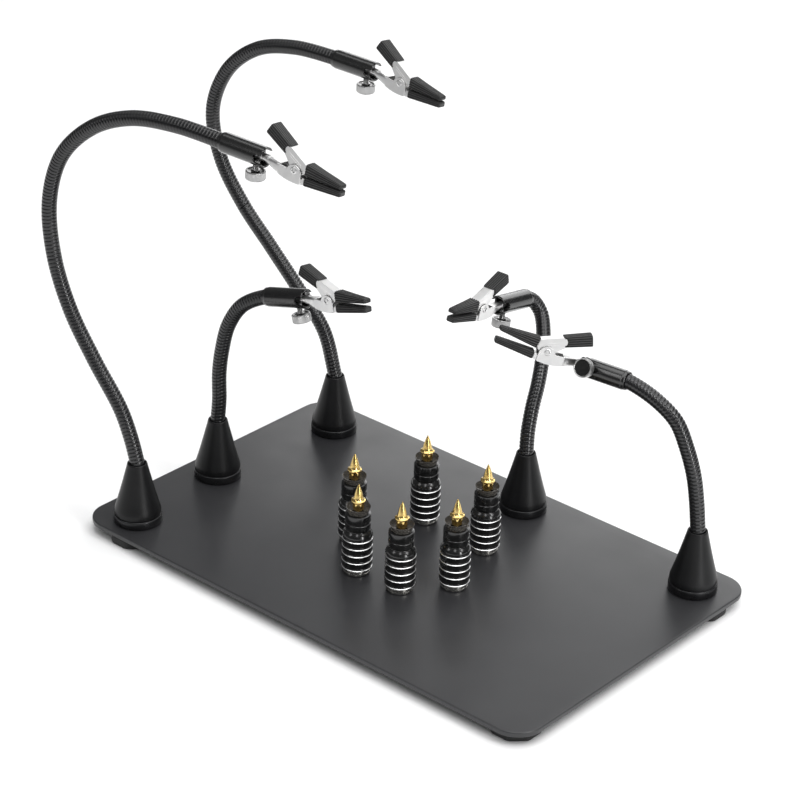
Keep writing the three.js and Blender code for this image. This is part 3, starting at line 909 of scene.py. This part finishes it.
def grip_shape():
    """The ribbed grip on the handle, its front edge hollowed at the sides."""
    front, rear = Vector(GRIP["front"]), Vector(GRIP["rear"])
    length = (rear - front).length
    along = (rear - front) / length
    up = Vector((-along.y, along.x)) * math.copysign(1, along.x)
    line = boxy(GRIP["half_width"], GRIP["half_height"], 0, GRIP["squareness"], 240)
    ring, inward, cut = ribbed(line, GRIP["ribs"])
    hollow = GRIP["hollow"]
    # each ring's place along the handle, inset, share of the rib's depth and hollow
    inside = [(4.2, 1.4, 0, 0), (4.0, 0.9, 0, 0), (0.5, 0.85, 0, hollow),
              (0.05, 0.7, 0, hollow), (0.0, 0.35, 0.3, hollow)]
    outside = [(0.2, 0.05, 1, hollow)]
    outside += [(2.4 + (length - 3.4) * k / 5, 0, 1, hollow * (1 - k / 5) ** 2 * 0.5)
                for k in range(6)]
    outside += [(length - 0.45, 0.08, 1, 0), (length - 0.12, 0.4, 0.7, 0),
                (length, 0.95, 0.2, 0)]

    def ring_at(at, inset, rib_share, hollow):
        out = []
        placed = ring + inward * (cut * rib_share + inset)[:, None]
        share = 1 - (1 - GRIP["front_share"]) * max(0.0, 1 - at / length)
        for across, high in placed * share:
            level = abs(high) / GRIP["half_height"]
            back = hollow * max(0.0, 1 - level**2) * (1 if abs(across) > 2.7 else 0.35)
            p = front + along * (at + back) + up * high
            out.append((p.x, across, p.y))
        return out

    rings = [ring_at(*station) for station in inside + outside]
    return ribbed_loft(rings, GRIP["ribs"], len(inside))


def spring_shape():
    """The torsion spring round the rivet, one leg under the handle and one on the tail's side."""
    radius, turns, half = SPRING["radius"], SPRING["turns"], SPRING["half_width"]
    middle = np.array((RIVET[0], 0, RIVET[1]))
    handle, foot = np.array(SPRING["handle_end"]), np.array(SPRING["tail_end"])
    start = math.radians(SPRING["from"])
    end = math.radians(SPRING["from"] + 360 * turns + SPRING["past"])
    steps = 24 * turns + 5
    coil = []
    for k in range(steps + 1):
        a = start + (end - start) * k / steps
        turn = (radius * math.cos(a), half * (2 * k / steps - 1), radius * math.sin(a))
        coil.append(middle + np.array(turn))
    rise = [handle + (coil[0] - handle) * k / 10 for k in range(10)]
    fall = [coil[-1] + (foot - coil[-1]) * k / 10 for k in range(1, 11)]
    return wire(rise + coil + fall, SPRING["wire"], 10)


# ---------------------------------------------------------------- arms


def build_clip(name, arm, clip):
    """The clip's two halves, boots, rivet and spring, with `clip` the place of its lower half."""
    opened = Matrix.Rotation(-math.radians(arm.get("open", 0)), 4, "Y")
    jaw = clip @ AT_RIVET @ opened @ AT_RIVET.inverted()
    tail = tail_direction(arm)

    def add(piece, shape, body, node, slot, materials, **edges):
        place = {"clip": clip, "jaw": jaw}[body]
        put(f"{name}_{piece}", shape, place, f"{name}_{body}", [f"{name}_{node}"], slot,
            materials, **edges)

    add("clip_channel", lower_shape(tail), "clip", "lower_jaw", "clip_nickel", [NICKEL],
        bevel=EDGE)
    add("clip_tail", tail_shape(tail), "clip", "lower_jaw", "clip_nickel", [NICKEL], sharp=40)
    add("rivet", rivet_shape(), "clip", "lower_jaw", "clip_nickel", [NICKEL, PAINTED_SHADE], sharp=40)
    add("lower_ribbed_boot", boot_shape("lower"), "clip", "lower_boot", "boot_rubber",
        [VINYL, VINYL_SHADE], sharp=30)
    add("jaw_channel", upper_shape(), "jaw", "upper_jaw", "clip_nickel", [NICKEL], bevel=EDGE)
    add("jaw_lines", fold_lines(), "jaw", "upper_jaw", "clip_nickel", [NICKEL, PAINTED_SHADE], sharp=30)
    add("grip", grip_shape(), "jaw", "upper_jaw", "boot_rubber", [VINYL, VINYL_SHADE], sharp=30)
    add("upper_ribbed_boot", boot_shape("upper"), "jaw", "upper_boot", "boot_rubber",
        [VINYL, VINYL_SHADE], sharp=30)
    spring = put(f"{name}_spring", spring_shape(), clip, None, [f"{name}_lower_jaw"],
                 "clip_nickel", [SPRING_STEEL], sharp=60)
    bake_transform(spring)


def build_arm(name, arm, sleeve, screw):
    """One arm, from its foot to its clip."""
    build_foot(name, arm)
    build_neck(name, arm)
    last = f"{name}_upper_neck" if name.endswith("_long") else f"{name}_neck"
    head = head_matrix(arm)
    fork = head @ Matrix.Rotation(math.radians(arm.get("screw_turn", 0)), 4, "X")
    at_screw = Matrix.Translation((SLEEVE["screw"], 0, 0))
    put(f"{name}_fork_sleeve", sleeve, fork, last, [f"{name}_sleeve"], "sleeve_gloss_black",
        [GLOSS])
    put(f"{name}_knurled_screw", screw, fork @ at_screw, f"{name}_screw",
        [f"{name}_thumbscrew"], "screw_nickel", [SCREW_NICKEL, ANODISED], sharp=40)
    from_ball = Matrix.Translation((CLIP_FROM_BALL, 0, 0))
    build_clip(name, arm, head @ at_screw @ clip_turn(arm) @ from_ball)


# ---------------------------------------------------------------- posts

BRIGHT_PART, BAND_PART = 1, 2
RING_HEIGHTS = (4.0, 8.1, 12.2, 16.35, 20.5)
HEX = {"low": 36.8, "high": 40.7, "half_across": 2.62}


def holder_shape():
    """The post: a nickel band at its foot, five bright rings, a waist and a collar."""
    band = [(0, 0.3), (6.6, 0.3), (6.9, 0.45), (7.0, 0.8), (7.0, 1.5), (6.8, 1.65), (6.8, 1.85),
            (7.0, 2.0), (7.0, 2.9), (6.85, 3.2)]
    profile = [(*point, BAND_PART) for point in band]
    profile += [(6.85, 3.35), (7.6, 3.45), (7.75, 3.6)]
    for ring in RING_HEIGHTS:
        profile += [
            (7.97, ring - 0.3), (7.97, ring, BRIGHT_PART), (7.9, ring + 0.06, BRIGHT_PART),
            (7.68, ring + 0.26), (7.45, ring + 0.45), (7.4, ring + 0.7), (7.75, ring + 1.0),
            (7.95, ring + 1.4),
        ]
    profile += [
        (7.97, 22.4), (7.85, 23.0), (7.6, 23.65), (7.2, 24.35), (6.7, 24.95), (6.3, 25.35),
        (6.2, 25.7), (6.3, 26.05), (6.62, 26.4), (6.7, 26.9), (6.7, 29.3), (6.55, 29.5),
        (6.3, 29.6), (6.3, 30.1), (6.6, 30.25), (6.7, 30.5), (6.7, 33.6), (6.55, 34.4),
        (6.0, 34.75), (3.0, 34.8), (3.0, 30.0), (0, 30.0),
    ]
    return lathe(profile, 72)


def cup_shape():
    """The smoky cup round the tip."""
    profile = [
        (3.1, 34.85), (5.2, 34.85), (5.45, 35.1), (5.75, 36.3), (6.1, 37.5), (6.35, 38.2),
        (6.3, 38.4), (6.1, 38.35), (5.75, 37.5), (5.3, 36.4), (4.6, 35.7), (3.1, 35.5),
        (3.1, 34.85),
    ]
    return lathe(profile, 72)


def tip_shape():
    """The brass tip: a stem, a hexagon in the cup and a pointed cone."""
    def hexed(radius, height, angle):
        if not HEX["low"] < height < HEX["high"] or radius < 2.5:
            return radius
        turn = (angle + math.pi / 6) % (math.pi / 3) - math.pi / 6
        return min(radius, HEX["half_across"] / math.cos(turn))

    profile = [
        (0, 30.3), (1.9, 30.3), (1.9, 36.2), (2.0, 36.6), (2.75, 36.9), (2.9, 37.1), (2.9, 40.4),
        (2.75, 40.6), (2.35, 40.8), (2.3, 41.2), (3.3, 41.35), (3.75, 41.55), (3.8, 41.85),
        (3.7, 42.15), (3.2, 42.45), (2.75, 42.75), (2.6, 43.1), (2.35, 44.2), (1.95, 45.8),
        (1.4, 47.7), (0.85, 49.3), (0.4, 50.45), (0.15, 50.95), (0, 51.0),
    ]
    return lathe(profile, 60, hexed)


def build_post(index, holder, cup, tip):
    """One post, turned the way it slides."""
    name = f"post_{index}"
    low, high = box_of(f"{name}_holder")
    slide = JOINTS[f"{name}_slide"]["axis"]
    place = (Matrix.Translation(((low.x + high.x) / 2, (low.y + high.y) / 2, 0))
             @ Matrix.Rotation(math.atan2(slide[1], slide[0]), 4, "Z"))
    put(f"{name}_pillar", holder, place, name, [f"{name}_holder"], "post_black",
        [ANODISED, BRIGHT, DARK_NICKEL])
    put(f"{name}_cup", cup, place, name, [f"{name}_holder"], "post_black", [CUP], weld=1e-4)
    put(f"{name}_brass_tip", tip, place, f"{name}_spring_tip", [f"{name}_tip"], "tip_brass",
        [BRASS])


# ---------------------------------------------------------------- the whole workstation

build_plate()
for pad_node in ("front_left_pad", "front_right_pad", "rear_left_pad", "rear_right_pad"):
    build_pad(pad_node)
SLEEVE_SHAPE, SCREW_SHAPE = sleeve_shape(), screw_shape()
for arm_name, arm_facts in ARMS.items():
    build_arm(arm_name, arm_facts, SLEEVE_SHAPE, SCREW_SHAPE)
HOLDER_SHAPE, CUP_SHAPE, TIP_SHAPE = holder_shape(), cup_shape(), tip_shape()
for number in range(1, 7):
    build_post(number, HOLDER_SHAPE, CUP_SHAPE, TIP_SHAPE)

# ---------------------------------------------------------------- floor, light and camera


AIM = (0, 0, 0.08)
# name, place, size and power
LIGHTS = [
    ("overhead", (0.25, 0.3, 1.65), (2.3, 2.3), 35),
    ("back_box", (-0.5, 1.35, 0.6), (1.5, 0.7), 7.5),
    ("front_box", (0.55, -0.75, 1.35), (0.25, 1.1), 3.5),
    ("left_box", (-0.45, -1.05, 1.15), (0.3, 0.9), 3),
    ("right_box", (1.15, 0.1, 1.15), (0.2, 0.9), 4),
    ("low_strip", (1.4, -0.3, 0.4), (0.2, 0.7), 6),
]
WORLD = {"color": (0.97, 0.98, 1.0, 1.0), "strength": 0.15}
FLOOR_HALF = 30.0
UNDER_PADS = 0.0001
CAMERA = {
    "lens": 121.76, "at": (0.77714, -0.93388, 0.72373), "right": (0.75267, 0.65763, 0.03184),
    "up": (-0.32636, 0.33066, 0.88553), "back": (0.57182, -0.67690, 0.46350),
}


def added(name, data):
    thing = bpy.data.objects.new(name, data)
    bpy.context.scene.collection.objects.link(thing)
    return thing


def build_floor():
    mesh = bpy.data.meshes.new("floor")
    height = CAD_LOW.z - UNDER_PADS
    corners = [(x * FLOOR_HALF, y * FLOOR_HALF, height)
               for x, y in ((-1, -1), (1, -1), (1, 1), (-1, 1))]
    mesh.from_pydata(corners, [], [(0, 1, 2, 3)])
    floor = added("floor", mesh)
    mesh.materials.append(mottled("floor_paint", greys(0.93, 0.95), (2, 2), 0.9,
                                  Specular_IOR_Level=0.1))


def area_light(name, at, size, power):
    data = bpy.data.lights.new(name, "AREA")
    data.shape, data.size, data.size_y = "RECTANGLE", *size
    data.energy = power
    light = added(name, data)
    light.location = at
    light.rotation_mode = "QUATERNION"
    light.rotation_quaternion = (Vector(AIM) - Vector(at)).to_track_quat("-Z", "Y")


def build_light():
    world = bpy.data.worlds.new("studio")
    world.use_nodes = True
    background = world.node_tree.nodes["Background"]
    background.inputs["Color"].default_value = WORLD["color"]
    background.inputs["Strength"].default_value = WORLD["strength"]
    bpy.context.scene.world = world
    for light in LIGHTS:
        area_light(*light)


def build_camera():
    data = bpy.data.cameras.new("camera")
    data.lens, data.sensor_width = CAMERA["lens"], 36.0
    data.clip_start, data.clip_end = 0.1, 100.0
    camera = added("camera", data)
    axes = [Vector(CAMERA[name]) for name in ("right", "up", "back")]
    turn = Matrix(axes).transposed().to_4x4()
    camera.matrix_world = Matrix.Translation(CAMERA["at"]) @ turn
    bpy.context.scene.camera = camera


build_floor()
build_light()
build_camera()
bpy.context.scene.view_settings.view_transform = "Standard"
